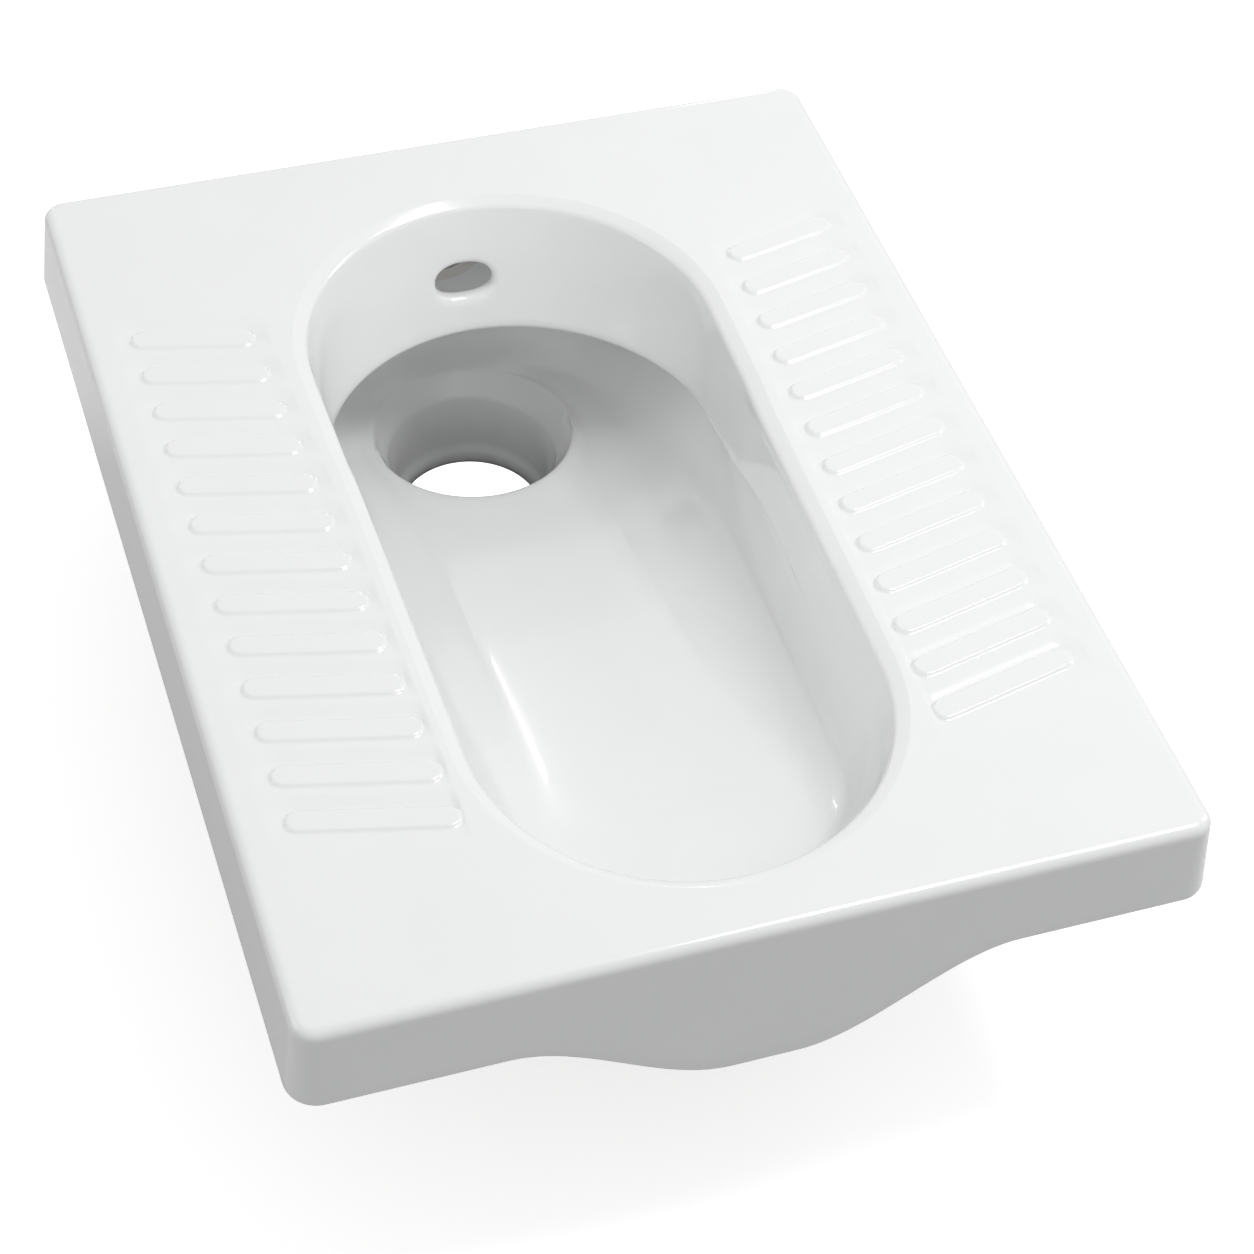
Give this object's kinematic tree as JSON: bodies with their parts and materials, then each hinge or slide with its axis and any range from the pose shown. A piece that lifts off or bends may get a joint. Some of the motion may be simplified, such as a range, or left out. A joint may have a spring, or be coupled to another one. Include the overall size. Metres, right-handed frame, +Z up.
{
  "type": "squat toilet",
  "caption": "Glazed white china squat pan with ridged foot treads, slot-shaped bowl, rear flush collar and bottom outlet, set flush into a floor.",
  "frame": {"origin": "on the outlet's axis, at the spigot's lower end", "axes": "+Z up, +Y to the rear of the pan, where the flush inlet is, +X to the right of a user who faces the front"},
  "size_m": [0.448, 0.5917, 0.2046],
  "materials": {
    "glaze": "glossy white glaze",
    "bare_china": "matt unglazed china"
  },
  "bodies": {
    "root": {"deck": "glaze", "apron": "glaze", "tread_left": "glaze", "tread_right": "glaze", "bowl": "glaze", "flush_collar": "glaze", "outlet_horn": "bare_china", "inlet_horn": "bare_china"}
  },
  "joints": []
}
